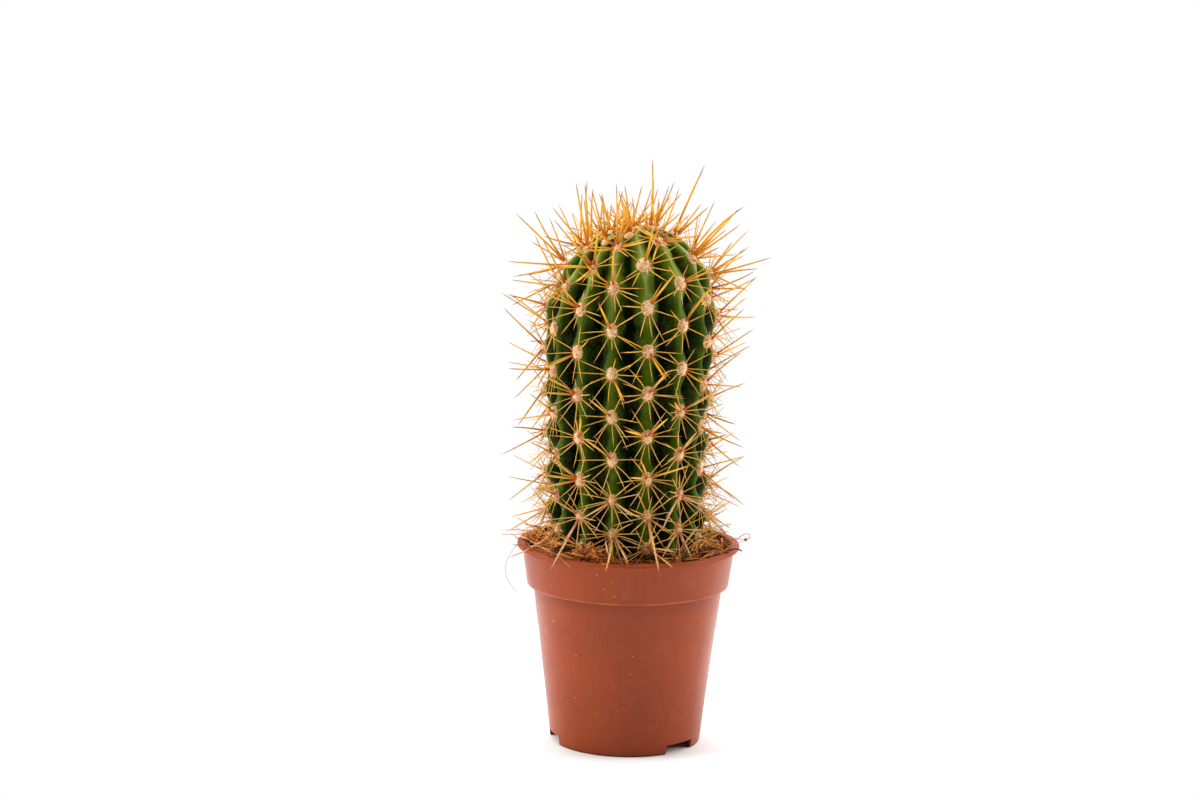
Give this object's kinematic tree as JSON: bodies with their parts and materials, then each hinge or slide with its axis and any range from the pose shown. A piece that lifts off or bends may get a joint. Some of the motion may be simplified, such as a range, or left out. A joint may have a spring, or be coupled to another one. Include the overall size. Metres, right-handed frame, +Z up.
{
  "type": "potted torch cactus",
  "caption": "Young columnar cactus with spiny ribs and a woolly crown, standing in peat in a small tapered plastic nursery pot.",
  "frame": {"origin": "centre of the pot's foot, on the surface that it stands on", "axes": "+Z up the pot's axis, -Y towards the front of the plant"},
  "size_m": [0.0651, 0.0653, 0.1444],
  "materials": {
    "pot_plastic": "terracotta-coloured moulded polypropylene with a soft sheen",
    "peat": "dark damp peat with coir fibres",
    "green_skin": "waxy green skin, paler on the crests and near black in the furrows",
    "spines": "glossy amber to reddish spines on pale wool pads",
    "wool": "matted cream wool",
    "coir": "dry tan fibre"
  },
  "bodies": {
    "root": {"pot": "pot_plastic", "soil": "peat", "stem": "green_skin", "crown_tuft": "wool", "spines_rib_01": "spines", "spines_rib_02": "spines", "spines_rib_03": "spines", "spines_rib_04": "spines", "spines_rib_05": "spines", "spines_rib_06": "spines", "spines_rib_07": "spines", "spines_rib_08": "spines", "spines_rib_09": "spines", "spines_rib_10": "spines", "spines_rib_11": "spines", "spines_rib_12": "spines", "spines_rib_13": "spines", "spines_rib_14": "spines", "spines_rib_15": "spines", "coir_clump_01": "coir", "coir_clump_02": "coir", "coir_clump_03": "coir", "coir_clump_04": "coir", "coir_fibre_01": "coir", "coir_fibre_02": "coir", "coir_fibre_03": "coir"}
  },
  "joints": []
}
